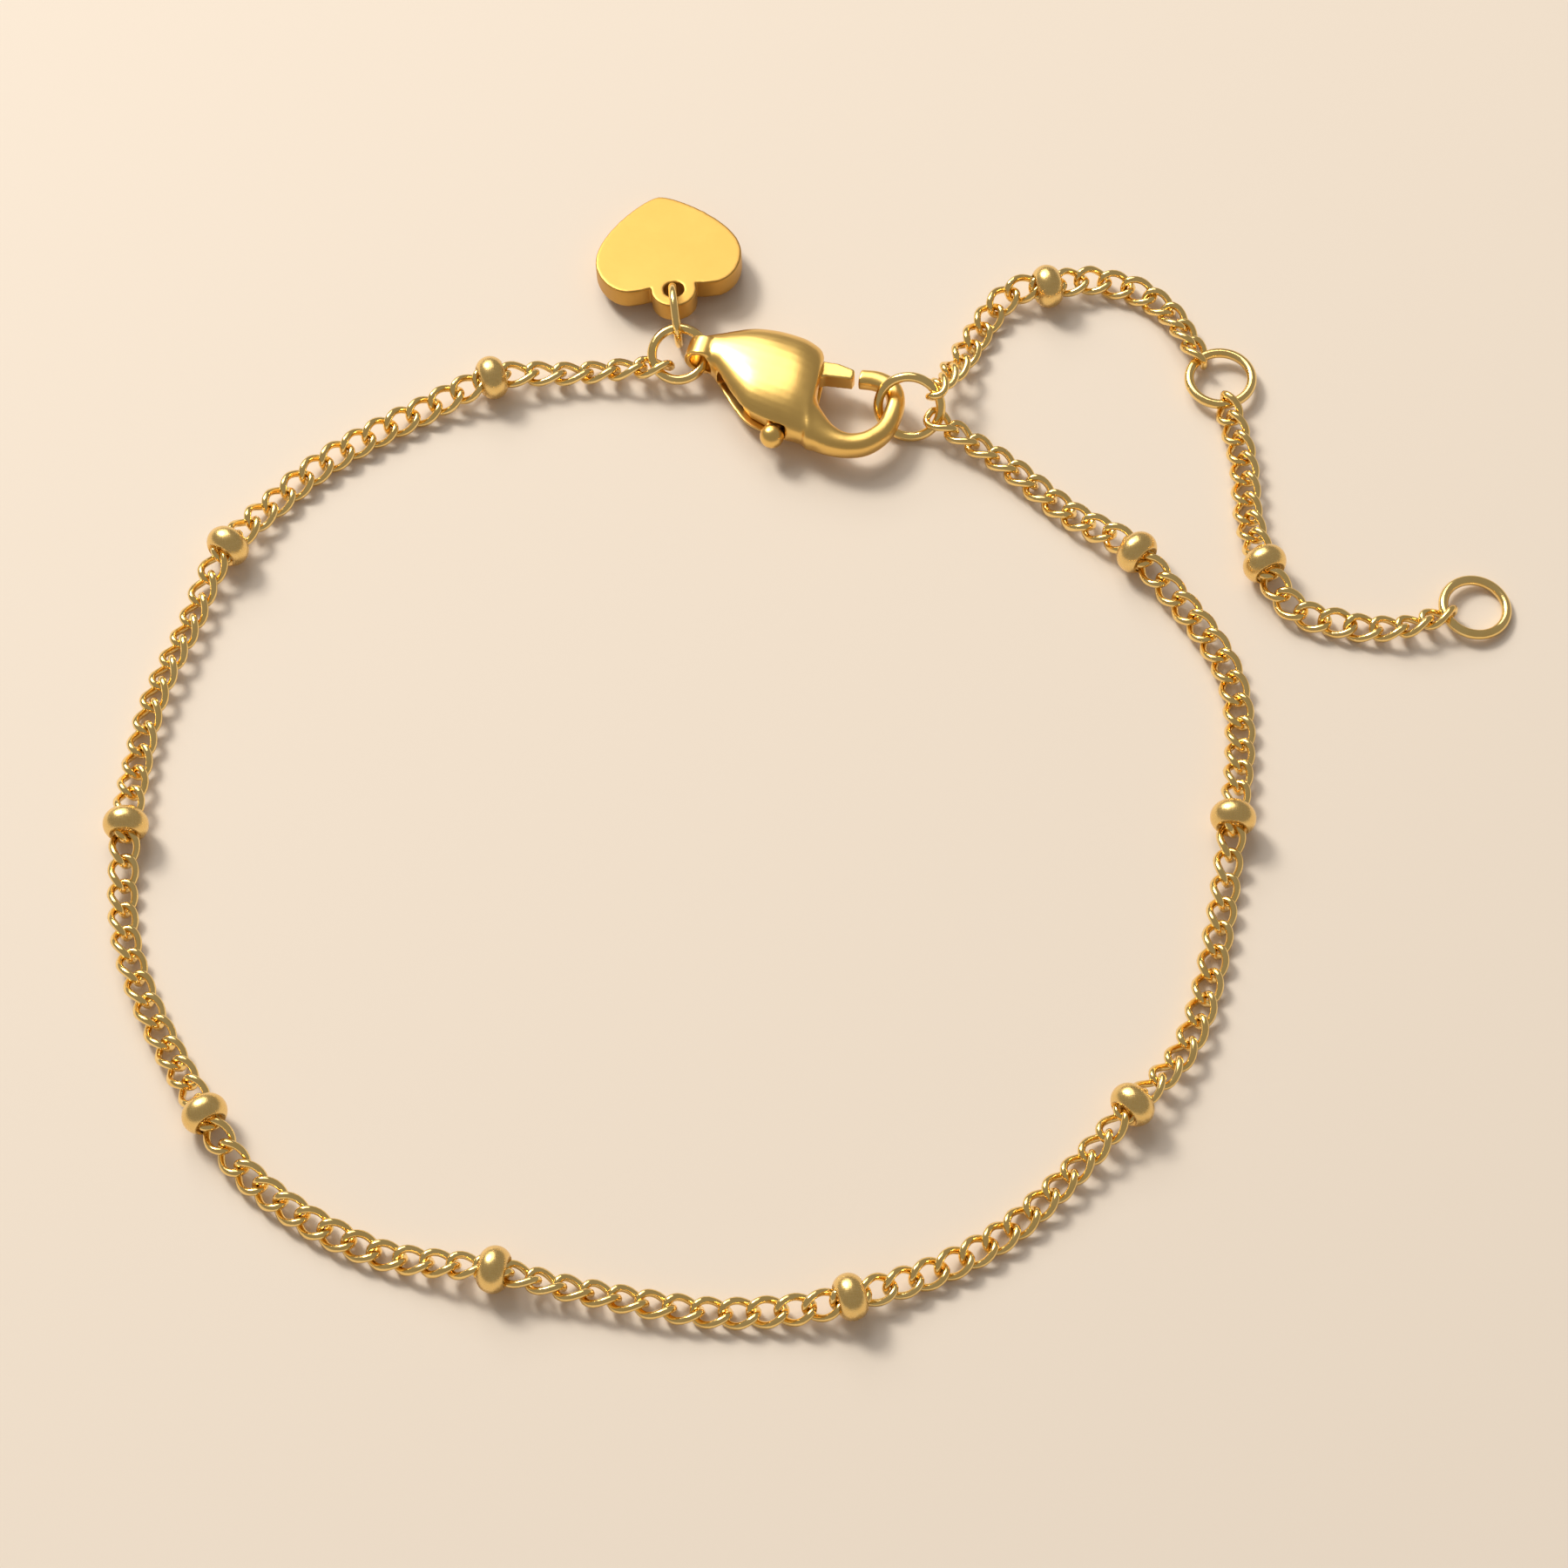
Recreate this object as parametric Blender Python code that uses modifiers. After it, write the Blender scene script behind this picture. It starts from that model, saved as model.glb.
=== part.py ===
"""Beaded chain bracelet: a gold-toned curb chain with eleven round beads, lying closed.

The chain runs from a small jump ring on the clasp's tail, round the loop, to the ring in the
clasp's hook. An extension chain goes on from that ring, over a middle ring, to an end ring.
A small heart tag hangs on the tail's ring by a ring of its own.

The surface is z = 0, the loop lies round the z axis and the clasp is on the +Y side.
"""
import math

import bmesh
import bpy
from mathutils import Matrix, Vector

MM = 0.001
OFF_CENTRE = 0.25 * MM            # how far the layout below lies off the origin, along y

# Chain
PITCH = 4 / 3 * MM                # length that each link adds
LINKS_PER_BEAD = 12               # so the beads are 16 mm apart
WIRE = 0.28 * MM                  # diameter of a link's wire
LINK_WIDTH = 1.48 * MM
BEAD_LINK_WIDTH = 1.24 * MM       # the link in a bead is squeezed to fit its bore
TWIST = math.radians(-55)         # turn of a curb link's end against its middle
CONTACT = 0.03 * MM               # how far neighbouring links press into each other
LINK_SEGMENTS = 10
WIRE_SIDES = 5
FACET = 1.07                      # corner radius of a five-sided wire to the round one's
ROLL = math.radians(30)           # how far the chain rolls to one side and the other
ROLL_WAVES = 5                    # such waves along the whole chain
LIFT = 0.035 * MM                 # a link's lowest point, where the chain runs level
MEETING = 0.09 * MM               # slack where the two halves of the chain meet

BEADS = 9
LINKS_BEFORE = 6                  # between the tail ring and the first bead
LINKS_AFTER = 9                   # between the last bead and the hook ring
LINKS = LINKS_BEFORE + (BEADS - 1) * LINKS_PER_BEAD + 1 + LINKS_AFTER
HALF = LINKS // 2

# Beads
BEAD_RADIUS = 1.07 * MM
BEAD_BORE = 0.70 * MM
BEAD_WIDTH = 1.26 * MM
BEAD_SIDES = 12

# Height of the chain 0, 1, 2 and 3 links from a bead, and from the ring at either end
BEAD_RISE = (1.08 * MM, 0.93 * MM, 0.74 * MM, 0.57 * MM)
RING_RISE = (1.02 * MM, 0.82 * MM, 0.62 * MM)

# Routes over the surface in millimetres: the loop, and the two runs of the extension chain
LOOP_ROUTE = (
    (-7.2, 20.6), (-9.6, 20.7), (-12.9, 20.6), (-15.3, 20.2), (-19.4, 18.3), (-24.0, 15.3),
    (-27.9, 10.8), (-29.6, 6.7), (-31.3, 1.9), (-32.1, -4.9), (-31.6, -11.3), (-27.8, -19.6),
    (-25.1, -23.1), (-20.6, -26.0), (-15.1, -27.4), (-7.4, -29.3), (-3.0, -29.7), (0.6, -29.3),
    (7.0, -26.6), (13.2, -20.7), (16.6, -16.2), (18.9, -6.6), (19.6, 1.6), (15.9, 8.3),
    (12.9, 11.1), (9.4, 14.6), (6.76, 16.57),
)
EXTENSION_ROUTE = (
    (6.95, 17.7), (7.7, 19.9), (9.4, 23.2), (10.8, 24.9), (12.3, 24.5), (15.0, 24.9),
    (18.0, 23.3), (19.75, 20.65),
)
END_ROUTE = (
    (20.6, 17.05), (21.1, 14.0), (21.1, 10.6), (21.6, 7.8), (22.9, 5.4), (25.8, 4.4),
    (28.0, 4.3), (29.62, 4.75),
)
TUBE_RADIUS = 0.5 * MM
TUBE_STEP = 3.3                   # spacing of a tube's points, in diameters
HOOK_HEIGHT = 1.6 * MM            # height of a tube's end at the ring in the hook
FLAT_HEIGHT = 0.6 * MM            # and at the two rings that lie flat
EXTENSION_BEAD = 12.3             # x of the bead on each run, in millimetres
END_BEAD = 21.6

# Jump rings: outer size, wire, centre in millimetres, and turns about x, y and z in degrees
RING_OUTER = 3.5 * MM
RING_WIRE = 0.44 * MM
RING_SEGMENTS = 12
JUMP_RINGS = (
    ("tail_ring", 3.05 * MM, RING_WIRE, (-5.95, 21.08, 1.32), (20.5, -1.5, -1.9)),
    ("tag_ring", 3.2 * MM, 0.38 * MM, (-6.03, 23.19, 1.58), (86.9, 14.1, 93)),
    ("hook_ring", RING_OUTER, RING_WIRE, (5.16, 17.33, 1.44), (54.1, 3, -13.1)),
    ("middle_ring", RING_OUTER, RING_WIRE, (20.40, 18.90, 0.62), (0, 0, 0)),
    ("end_ring", RING_OUTER, RING_WIRE, (31.40, 5.30, 0.43), (0, 7, 0)),
)

# Clasp, in its own frame: +x from tail to hook, +y to the lever's side, z up
CLASP_PLACE = (-4.7 * MM, 20.95 * MM)
CLASP_TURN = math.radians(-17.5)
CLASP_MIDDLE = 1.4 * MM           # height of its middle plane
EYE_RADIUS = 0.88 * MM
EYE_BORE = 0.58 * MM
EYE_LENGTH = 0.85 * MM
SLOT = 1.1 * MM                   # height of the slot that the lever lies in
LEVER = 0.94 * MM                 # thickness of the lever
PIVOT = (4.4 * MM, -0.3 * MM)
PIVOT_RADIUS = 0.35 * MM
PIVOT_GAP = 0.08 * MM
KNOB_PLACE = (4.5 * MM, -3.8 * MM)
KNOB_RADIUS = 0.6 * MM

# Sections of the clasp's body: x, y, heading in degrees, half width, half height
CLASP_SECTIONS = (
    (0.6, 0.06, 0, 0.8, 0.78),
    (1.2, -0.02, 0, 1.5, 1.05),
    (2.0, -0.28, 0, 2.1, 1.22),
    (2.9, -0.58, 0, 2.56, 1.35),
    (3.9, -0.74, 0, 2.72, 1.40),
    (5.0, -0.92, 0, 2.7, 1.38),
    (5.85, -1.3, 0, 2.4, 1.2),
    (6.15, -2.6, 0, 1.3, 1.0),
    (6.6, -3.0, -5, 0.92, 0.85),
    (7.3, -3.35, -8, 0.68, 0.7),
    (8.2, -3.4, 5, 0.56, 0.62),
    (9.05, -3.02, 24, 0.55, 0.6),
    (9.65, -2.2, 52, 0.5, 0.55),
    (9.82, -1.3, 78, 0.47, 0.5),
    (9.78, -0.4, 98, 0.46, 0.5),
    (9.4, 0.32, 142, 0.47, 0.48),
    (8.6, 0.6, 174, 0.48, 0.46),
    (7.72, 0.5, 184, 0.46, 0.44),
)
CLASP_SQUARE = 0.8                # power that fills out the sections' corners
CLASP_SIDES = 10

# Outlines in the clasp's plane, in millimetres: the slot, and the lever lying in it
SLOT_OUTLINE = (
    (5.3, -4.6), (5.3, -1.9), (6.3, -1.6), (7.4, -1.5), (7.4, 1.7), (5.2, 1.7), (5.0, 0.95),
    (3.5, 0.95), (2.9, 0.5), (1.5, -0.7), (1.0, -1.2), (1.0, -4.6),
)
LEVER_OUTLINE = (
    (7.5, 0.4), (7.42, 0.7), (6.6, 0.86), (5.4, 0.78), (4.4, 0.55), (3.8, 0.25),
    (3.2, -0.7), (2.6, -2.3), (3.1, -2.75), (4.1, -3.1), (4.15, -3.6), (4.85, -3.6),
    (4.95, -1.7), (5.25, -0.75), (6.1, -0.05), (7.44, 0.12),
)

# Heart tag: its tip is its origin, and its lug points to -Y
HEART_PLACE = (-6.74 * MM, 30.79 * MM, 0.0)
HEART_TURN = math.radians(6)
HEART_TILT = math.radians(-6.7)   # the ring in its lug lifts that end
HEART_THICK = 1.1 * MM
HEART_HALF = 3.62
HEART_LENGTH = 6.2
HEART_WIDEST = -4.1               # y of the widest place
LOBE = 2.0                        # x of a lobe's end
CLEFT = -5.5                      # y of the cleft
TIP_EASE = 0.75                   # lengths of the handles that round each place
SIDE_EASE = 1.9
LOBE_EASE = 1.0
CLEFT_EASE = 0.3
LUG_PLACE = -6.35 * MM
LUG_RADIUS = 1.12 * MM
LUG_BORE = 0.5 * MM

GOLD = (0.86, 0.55, 0.17, 1.0)
GOLD_DEEP = (0.78, 0.47, 0.13, 1.0)


def collection(name):
    made = bpy.data.collections.new(name)
    bpy.context.scene.collection.children.link(made)
    return made


def gold(name, colour, roughness):
    made = bpy.data.materials.new(name)
    made.use_nodes = True
    shader = made.node_tree.nodes["Principled BSDF"]
    shader.inputs["Base Color"].default_value = colour
    shader.inputs["Metallic"].default_value = 1.0
    shader.inputs["Roughness"].default_value = roughness
    return made


def add_object(name, mesh, where, material=None):
    made = bpy.data.objects.new(name, mesh)
    where.objects.link(made)
    if material:
        mesh.materials.append(material)
    return made


def adopt(name, where, material=None):
    """Name the active object and move it to a collection."""
    made = bpy.context.active_object
    made.name = name
    for old in list(made.users_collection):
        old.objects.unlink(made)
    where.objects.link(made)
    if material:
        made.data.materials.append(material)
    return made


def as_cutter(cutter):
    cutter.hide_render = True
    cutter.display_type = "WIRE"
    return cutter


def boolean(body, operation, other):
    step = body.modifiers.new(operation.lower() + "_" + other.name, "BOOLEAN")
    step.operation = operation
    step.solver = "EXACT"
    step.object = other


def smooth_route(points, steps=12):
    """A Catmull-Rom curve through points given in millimetres, as many short straight steps."""
    ends = [2 * Vector(points[0]) - Vector(points[1])]
    ends += [Vector(point) for point in points]
    ends.append(2 * ends[-1] - ends[-2])
    line = []
    for before, start, end, after in zip(ends, ends[1:], ends[2:], ends[3:]):
        for step in range(steps):
            t = step / steps
            bend = 2 * before - 5 * start + 4 * end - after
            turn = 3 * start - before - 3 * end + after
            line.append((start + 0.5 * (t * (end - before) + t * t * bend + t ** 3 * turn)) * MM)
    line.append(ends[-2] * MM)
    return line


def point_along(line, distance):
    """The point at a distance along a line of short steps."""
    for start, end in zip(line, line[1:]):
        length = (end - start).length
        if distance <= length:
            return start + (end - start) * (distance / length)
        distance -= length
    return end + (end - start) * (distance / length)


def oval_wire(width):
    """A curb link at the origin, along x: a torus drawn out to an oval, squeezed and twisted."""
    half_step = math.pi / LINK_SEGMENTS
    half_length = (PITCH + WIRE - CONTACT) / 2 / math.cos(half_step)
    half_width = (LINK_WIDTH - WIRE) / 2
    squeezed = (width - WIRE) / 2
    corner = WIRE / 2 * FACET
    bpy.ops.mesh.primitive_torus_add(
        major_segments=LINK_SEGMENTS, minor_segments=WIRE_SIDES,
        major_radius=1.0, minor_radius=0.5)
    torus = bpy.context.active_object
    mesh = torus.data
    bpy.data.objects.remove(torus)

    def middle(angle):
        turn = TWIST * math.cos(angle)
        across = max(-squeezed, min(squeezed, half_width * math.sin(angle)))
        return Vector((half_length * math.cos(angle), across * math.cos(turn),
                       across * math.sin(turn)))

    for vertex in mesh.vertices:
        angle = math.atan2(vertex.co.y, vertex.co.x) + half_step
        inward = 1.0 - math.hypot(vertex.co.x, vertex.co.y)
        along = (middle(angle + 0.01) - middle(angle - 0.01)).normalized()
        outward = middle(angle)
        outward = (outward - outward.project(along)).normalized()
        offset = outward * inward + along.cross(outward) * vertex.co.z
        vertex.co = middle(angle) + offset * 2 * corner
    return mesh


def chain_links(route):
    """Middle point, roll and width of each link, in order along the chain."""
    line = smooth_route(route)
    corners = [corner.co.copy() for corner in oval_wire(LINK_WIDTH).vertices]
    travelled = 0.0
    links = []
    for number in range(LINKS):
        bead = min(max(round((number - LINKS_BEFORE) / LINKS_PER_BEAD), 0), BEADS - 1)
        from_bead = abs(number - LINKS_BEFORE - bead * LINKS_PER_BEAD)
        from_ring = min(number, LINKS - 1 - number)
        roll = ROLL * math.cos(2 * math.pi * ROLL_WAVES * number / (LINKS - 1))
        lowest = min(corner.y * math.sin(roll) + corner.z * math.cos(roll) for corner in corners)
        height = LIFT - lowest
        if from_bead < len(BEAD_RISE):
            height = max(height, BEAD_RISE[from_bead])
        if from_ring < len(RING_RISE):
            height = max(height, RING_RISE[from_ring])
        if links:
            step = PITCH - (MEETING if number == HALF else 0.0)
            climb = height - links[-1][0].z
            travelled += math.sqrt(step * step - climb * climb)
        place = point_along(line, travelled)
        width = BEAD_LINK_WIDTH if from_bead == 0 else LINK_WIDTH
        links.append((Vector((place.x, place.y, height)), roll, width))
    return links


def frame_along(place, direction, roll=0.0):
    """A matrix at place whose x axis is the direction, turned about it by roll."""
    along = direction.normalized()
    side = Vector((0, 0, 1)).cross(along).normalized()
    up = along.cross(side)
    turn = Matrix((along, side, up)).transposed().to_4x4()
    return Matrix.Translation(place) @ turn @ Matrix.Rotation(roll, 4, "X")


def direction_at(links, number):
    before = links[max(number - 1, 0)][0]
    after = links[min(number + 1, len(links) - 1)][0]
    return after - before


def joined_links(name, links, numbers, where, material=None):
    """One mesh of every link in numbers, none of which touch each other."""
    shapes = {LINK_WIDTH: oval_wire(LINK_WIDTH), BEAD_LINK_WIDTH: oval_wire(BEAD_LINK_WIDTH)}
    joined = bmesh.new()
    for number in numbers:
        place, roll, width = links[number]
        copy = shapes[width].copy()
        copy.transform(frame_along(place, direction_at(links, number), roll))
        joined.from_mesh(copy)
        bpy.data.meshes.remove(copy)
    mesh = bpy.data.meshes.new(name)
    joined.to_mesh(mesh)
    joined.free()
    return add_object(name, mesh, where, material)


def half_chain(name, links, first, last, parts, cutters, material):
    """Every second link is one mesh, the links between them another, and a union fuses both."""
    chain = joined_links(name, links, range(first, last, 2), parts, material)
    between = joined_links(name + "_between", links, range(first + 1, last, 2), cutters)
    boolean(chain, "UNION", as_cutter(between))
    return chain


def bead(name, matrix, parts, material):
    """A half-round ring turned about its bore, with the chain through it."""
    half = BEAD_WIDTH / 2
    profile = (
        (BEAD_BORE, half), (0.92 * MM, 0.8 * half), (BEAD_RADIUS, 0), (0.92 * MM, -0.8 * half),
        (BEAD_BORE, -half),
    )
    mesh = bpy.data.meshes.new(name)
    edges = [(corner, (corner + 1) % len(profile)) for corner in range(len(profile))]
    mesh.from_pydata([(x, 0, z) for x, z in profile], edges, [])
    made = add_object(name, mesh, parts, material)
    turned = made.modifiers.new("turned", "SCREW")
    turned.steps = turned.render_steps = BEAD_SIDES
    turned.use_merge_vertices = True
    turned.merge_threshold = 0.001 * MM
    made.matrix_world = matrix @ Matrix.Rotation(math.pi / 2, 4, "Y")
    return made


def jump_ring(name, outer, wire, place, tilt, parts, material):
    """A closed ring of round wire, turned about x, then y, then z."""
    bpy.ops.mesh.primitive_torus_add(
        major_segments=RING_SEGMENTS, minor_segments=WIRE_SIDES,
        major_radius=(outer - wire) / 2, minor_radius=wire / 2 * FACET,
        location=Vector(place) * MM, rotation=[math.radians(angle) for angle in tilt])
    return adopt(name, parts, material)


def loft(name, sections, sides, where, material=None):
    """A body through oval sections, each square to its heading, with flat ends."""
    made = bmesh.new()
    rings = []
    for x, y, heading, half_width, half_height in sections:
        turn = math.radians(heading)
        ring = []
        for side in range(sides):
            angle = 2 * math.pi * (side + 0.5) / sides
            wide, high = math.cos(angle), math.sin(angle)
            across = half_width * math.copysign(abs(wide) ** CLASP_SQUARE, wide)
            ring.append(made.verts.new((
                (x - across * math.sin(turn)) * MM,
                (y + across * math.cos(turn)) * MM,
                half_height * math.copysign(abs(high) ** CLASP_SQUARE, high) * MM)))
        rings.append(ring)
    for ring, following in zip(rings, rings[1:]):
        for side in range(sides):
            after = (side + 1) % sides
            made.faces.new((ring[side], ring[after], following[after], following[side]))
    made.faces.new(rings[0])
    made.faces.new(rings[-1])
    bmesh.ops.recalc_face_normals(made, faces=made.faces)
    mesh = bpy.data.meshes.new(name)
    made.to_mesh(mesh)
    made.free()
    return add_object(name, mesh, where, material)


def flat_curve(name, thickness):
    """An empty flat curve, which is filled on both sides of its middle plane."""
    curve = bpy.data.curves.new(name, "CURVE")
    curve.dimensions = "2D"
    curve.fill_mode = "BOTH"
    curve.extrude = thickness / 2
    return curve


def solid_of(curve, where, material=None):
    """The mesh of a filled curve, with its two faces welded to its rim."""
    drawn = bpy.data.objects.new(curve.name, curve)
    where.objects.link(drawn)
    bpy.context.view_layer.update()
    mesh = bpy.data.meshes.new_from_object(
        drawn.evaluated_get(bpy.context.evaluated_depsgraph_get()))
    bpy.data.objects.remove(drawn)
    filled = bmesh.new()
    filled.from_mesh(mesh)
    bmesh.ops.remove_doubles(filled, verts=filled.verts, dist=0.001 * MM)
    filled.to_mesh(mesh)
    filled.free()
    return add_object(curve.name, mesh, where, material)


def plate(name, outline, thickness, where, material=None):
    """A flat outline in millimetres, made solid about its middle plane."""
    curve = flat_curve(name, thickness)
    spline = curve.splines.new("POLY")
    spline.points.add(len(outline) - 1)
    for point, (x, y) in zip(spline.points, outline):
        point.co = (x * MM, y * MM, 0, 1)
    spline.use_cyclic_u = True
    return solid_of(curve, where, material)


def cylinder(name, radius, depth, place, where, rotation=(0, 0, 0), sides=12):
    bpy.ops.mesh.primitive_cylinder_add(
        vertices=sides, radius=radius, depth=depth, location=place, rotation=rotation)
    return adopt(name, where)


def clasp_frame():
    """An empty at the clasp's tail eye, with the clasp's own axes."""
    frame = bpy.data.objects.new("clasp", None)
    frame.location = (*CLASP_PLACE, CLASP_MIDDLE)
    frame.rotation_euler.z = CLASP_TURN
    return frame


def clasp_body(frame, parts, cutters, material):
    """The domed body, running on into the hook, with an eye, a slot and a pivot post."""
    across = (math.pi / 2, 0, 0)
    body = loft("clasp_body", CLASP_SECTIONS, CLASP_SIDES, parts, material)
    eye = cylinder("clasp_eye", EYE_RADIUS, EYE_LENGTH, (0, 0, 0), cutters, across, sides=10)
    bore = cylinder("clasp_bore", EYE_BORE, 4 * EYE_LENGTH, (0, 0, 0), cutters, across)
    slot = plate("clasp_slot", SLOT_OUTLINE, SLOT, cutters)
    post = cylinder("clasp_post", PIVOT_RADIUS, 1.5 * SLOT, (*PIVOT, 0), cutters, sides=8)
    for operation, cutter in (
            ("UNION", eye), ("DIFFERENCE", bore), ("DIFFERENCE", slot), ("UNION", post)):
        boolean(body, operation, as_cutter(cutter))
        cutter.parent = frame
    body.parent = frame
    return body


def clasp_lever(frame, parts, cutters, material):
    """The lever lies in the slot, turns on the post and closes the hook."""
    pivot = Vector((*PIVOT, 0))
    outline = [(x - pivot.x / MM, y - pivot.y / MM) for x, y in LEVER_OUTLINE]
    lever = plate("clasp_lever", outline, LEVER, parts, material)
    bpy.ops.mesh.primitive_uv_sphere_add(
        segments=8, ring_count=5, radius=KNOB_RADIUS, location=Vector((*KNOB_PLACE, 0)) - pivot)
    knob = adopt("lever_knob", cutters)
    bore = cylinder("lever_bore", PIVOT_RADIUS + PIVOT_GAP, 2 * LEVER, (0, 0, 0), cutters,
                    sides=8)
    boolean(lever, "UNION", as_cutter(knob))
    boolean(lever, "DIFFERENCE", as_cutter(bore))
    for piece in (knob, bore):
        piece.parent = lever
    lever.location = pivot
    lever.parent = frame
    return lever


def heart_tag(parts, cutters, material):
    """A flat heart with a lug in its cleft, bored for a ring."""
    length = -HEART_LENGTH
    tip = ((0, 0), (-TIP_EASE, 0), (TIP_EASE, 0))
    right = (
        ((HEART_HALF, HEART_WIDEST), (HEART_HALF, HEART_WIDEST + SIDE_EASE),
         (HEART_HALF, HEART_WIDEST - LOBE_EASE)),
        ((LOBE, length), (LOBE + LOBE_EASE, length), (LOBE - LOBE_EASE, length)),
    )
    cleft = ((0, CLEFT), (CLEFT_EASE, CLEFT - CLEFT_EASE), (-CLEFT_EASE, CLEFT - CLEFT_EASE))
    left = [[(-x, y) for x, y in (place, after, before)] for place, before, after in right[::-1]]
    outline = [tip, *right, cleft, *left]
    curve = flat_curve("heart_tag", HEART_THICK)
    curve.resolution_u = 3
    spline = curve.splines.new("BEZIER")
    spline.bezier_points.add(len(outline) - 1)
    for point, (place, before, after) in zip(spline.bezier_points, outline):
        point.co = (*[x * MM for x in place], 0)
        point.handle_left = (*[x * MM for x in before], 0)
        point.handle_right = (*[x * MM for x in after], 0)
    spline.use_cyclic_u = True
    tag = solid_of(curve, parts, material)
    lug = cylinder("heart_lug", LUG_RADIUS, HEART_THICK, (0, LUG_PLACE, 0), cutters)
    bore = cylinder("heart_bore", LUG_BORE, 2 * HEART_THICK, (0, LUG_PLACE, 0), cutters,
                    sides=10)
    boolean(tag, "UNION", as_cutter(lug))
    boolean(tag, "DIFFERENCE", as_cutter(bore))
    for piece in (lug, bore):
        piece.parent = tag
    lift = Vector((0, 0, HEART_THICK / 2))
    turn = Matrix.Rotation(HEART_TURN, 4, "Z") @ Matrix.Rotation(HEART_TILT, 4, "X")
    tag.matrix_world = Matrix.Translation(HEART_PLACE) @ turn @ Matrix.Translation(lift)
    return tag


def chain_tube(name, route, start_height, end_height, bead_x, parts, material):
    """A run of the extension chain as a plain tube, lifted at its bead and its two ends."""
    line = smooth_route(route)
    spans = [(end - start).length for start, end in zip(line, line[1:])]
    length = sum(spans)
    bead_step = min(range(len(line)), key=lambda step: abs(line[step].x - bead_x * MM))
    bead_at = sum(spans[:bead_step])
    stops = [length]
    for start, end in ((0, bead_at), (bead_at, length)):
        count = math.ceil((end - start) / (TUBE_STEP * TUBE_RADIUS * 2))
        stops += [start + (end - start) * step / count for step in range(count)]
    stops.sort()
    tube = bpy.data.curves.new(name, "CURVE")
    tube.dimensions = "3D"
    tube.bevel_depth = TUBE_RADIUS
    tube.bevel_resolution = 2
    tube.use_fill_caps = True
    spline = tube.splines.new("POLY")
    spline.points.add(len(stops) - 1)
    for point, stop in zip(spline.points, stops):
        height = TUBE_RADIUS + LIFT
        for lifted, top in ((0, start_height), (bead_at, BEAD_RISE[0]), (length, end_height)):
            nearness = max(0.0, 1 - abs(stop - lifted) / (len(BEAD_RISE) * PITCH))
            height = max(height, TUBE_RADIUS + (top - TUBE_RADIUS) * nearness)
        place = point_along(line, stop)
        point.co = (place.x, place.y, height, 1)
    parts.objects.link(bpy.data.objects.new(name, tube))
    tube.materials.append(material)
    bead_stop = stops.index(bead_at)
    before = point_along(line, stops[bead_stop - 1])
    after = point_along(line, stops[bead_stop + 1])
    middle = line[bead_step]
    return frame_along(Vector((middle.x, middle.y, BEAD_RISE[0])), (after - before).to_3d())


def build():
    for old in list(bpy.data.objects):
        bpy.data.objects.remove(old, do_unlink=True)
    parts = collection("beaded_chain_bracelet")
    cutters = collection("cutters")
    polished = gold("polished_gold", GOLD, 0.12)
    bead_gold = gold("bead_gold", GOLD, 0.22)
    satin = gold("satin_gold", GOLD_DEEP, 0.35)

    links = chain_links(LOOP_ROUTE)
    half_chain("chain_left", links, 0, HALF, parts, cutters, polished)
    half_chain("chain_right", links, HALF, LINKS, parts, cutters, polished)
    for number in range(BEADS):
        link = LINKS_BEFORE + number * LINKS_PER_BEAD
        place = frame_along(links[link][0], direction_at(links, link))
        bead(f"bead_{number + 1}", place, parts, bead_gold)

    for name, outer, wire, place, tilt in JUMP_RINGS:
        jump_ring(name, outer, wire, place, tilt, parts, polished)

    first = chain_tube("extension_chain", EXTENSION_ROUTE, HOOK_HEIGHT, FLAT_HEIGHT,
                       EXTENSION_BEAD, parts, polished)
    second = chain_tube("end_chain", END_ROUTE, FLAT_HEIGHT, FLAT_HEIGHT, END_BEAD, parts,
                        polished)
    bead("extension_bead", first, parts, bead_gold)
    bead("end_bead", second, parts, bead_gold)

    frame = clasp_frame()
    parts.objects.link(frame)
    clasp_body(frame, parts, cutters, polished)
    clasp_lever(frame, parts, cutters, polished)
    heart_tag(parts, cutters, satin)

    for made in bpy.data.objects:
        if not made.parent:
            made.location.y -= OFF_CENTRE


build()
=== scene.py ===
# %% [markdown]
# # A beaded chain bracelet
#
# A fine gold-toned curb chain lies closed on a pale table, with a round bead on every thirteenth
# link, a lobster clasp, a short extension chain and a heart tag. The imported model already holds
# every piece at its real place. This lesson dresses it: the links get round wire, the castings
# get soft edges, and the gold gets its polish and its scuffs.

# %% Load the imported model
import math

import bmesh
import bpy
import numpy as np
from mathutils import Matrix, Vector


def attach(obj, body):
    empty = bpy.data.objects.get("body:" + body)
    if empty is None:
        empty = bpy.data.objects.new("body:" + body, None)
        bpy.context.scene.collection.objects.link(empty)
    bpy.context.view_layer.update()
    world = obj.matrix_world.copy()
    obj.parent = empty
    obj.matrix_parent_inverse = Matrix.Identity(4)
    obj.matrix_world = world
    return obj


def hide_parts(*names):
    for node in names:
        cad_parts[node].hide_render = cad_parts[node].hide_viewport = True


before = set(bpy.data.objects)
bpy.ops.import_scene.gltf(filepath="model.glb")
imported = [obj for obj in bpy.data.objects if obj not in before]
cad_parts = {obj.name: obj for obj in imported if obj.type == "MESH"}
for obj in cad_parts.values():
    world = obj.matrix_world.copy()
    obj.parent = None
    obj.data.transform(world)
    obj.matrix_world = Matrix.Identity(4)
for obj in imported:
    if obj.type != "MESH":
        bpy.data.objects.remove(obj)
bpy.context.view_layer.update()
MM = 0.001

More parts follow.
